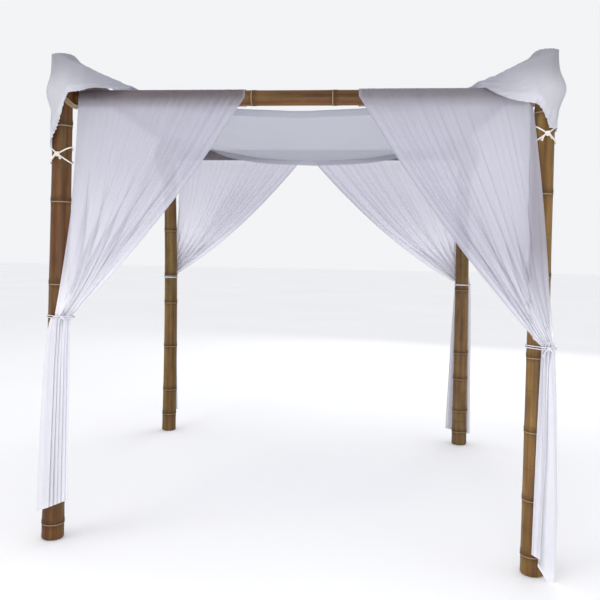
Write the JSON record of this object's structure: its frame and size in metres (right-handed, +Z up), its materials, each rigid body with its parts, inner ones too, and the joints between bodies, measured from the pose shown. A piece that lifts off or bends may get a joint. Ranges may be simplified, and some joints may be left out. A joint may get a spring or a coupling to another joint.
{
  "type": "chuppah canopy",
  "caption": "Open bamboo wedding canopy: leaning culm poles, lashed beams, a draped sheer roof cloth and swept curtains tied to the poles.",
  "frame": {"origin": "on the floor under the middle of the canopy's box", "axes": "+Z up, -Y out of the front of the canopy, +X to the right of someone who faces the front"},
  "size_m": [2.6481, 2.8062, 2.5342],
  "materials": {
    "bamboo_pole": "weathered brown culm, satin",
    "bamboo_beam": "brown culm, satin",
    "rope": "twisted natural rope",
    "roof_sheer": "sheer white voile",
    "curtain_sheer": "sheer white voile",
    "cord": "white cotton cord"
  },
  "bodies": {
    "root": {"pole_front_left": "bamboo_pole", "pole_front_right": "bamboo_pole", "pole_back_left": "bamboo_pole", "pole_back_right": "bamboo_pole", "beam_front": "bamboo_beam", "beam_back": "bamboo_beam", "beam_left": "bamboo_beam", "beam_right": "bamboo_beam", "lashing_front_left": "rope", "lashing_front_right": "rope", "lashing_back_left": "rope", "lashing_back_right": "rope", "roof_cloth": "roof_sheer", "curtain_front_left": "curtain_sheer", "curtain_front_right": "curtain_sheer", "curtain_back_left": "curtain_sheer", "curtain_back_right": "curtain_sheer", "curtain_tie_front_left": "cord", "curtain_tie_front_right": "cord", "curtain_tie_back_left": "cord", "curtain_tie_back_right": "cord", "corner_tie_front_left": "cord", "corner_tie_front_right": "cord", "corner_tie_back_left": "cord", "corner_tie_back_right": "cord"}
  },
  "joints": []
}
